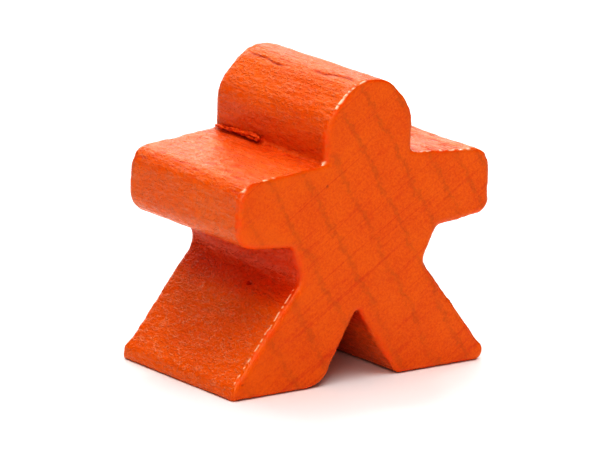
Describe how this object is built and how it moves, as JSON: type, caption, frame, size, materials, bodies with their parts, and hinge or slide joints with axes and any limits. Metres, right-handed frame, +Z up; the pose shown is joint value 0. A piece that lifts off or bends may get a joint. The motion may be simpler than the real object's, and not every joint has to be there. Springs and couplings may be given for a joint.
{
  "type": "wooden meeple",
  "caption": "Small painted wooden game figure: a flat-fronted standing person with a round head, short level arms and splayed legs, cut from one block.",
  "frame": {"origin": "on the table, under the middle of the figure's box", "axes": "+Z up; the front face looks along -Y, so Y runs through the thickness and along the wood grain; X runs from hand to hand"},
  "size_m": [0.0164, 0.0098, 0.016],
  "materials": {
    "bare_beech": "matte",
    "orange_paint": "satin",
    "painted_splinter": "satin"
  },
  "bodies": {
    "root": {"wood_body": "bare_beech", "paint_coat": "orange_paint", "neck_splinter": "painted_splinter"}
  },
  "joints": []
}
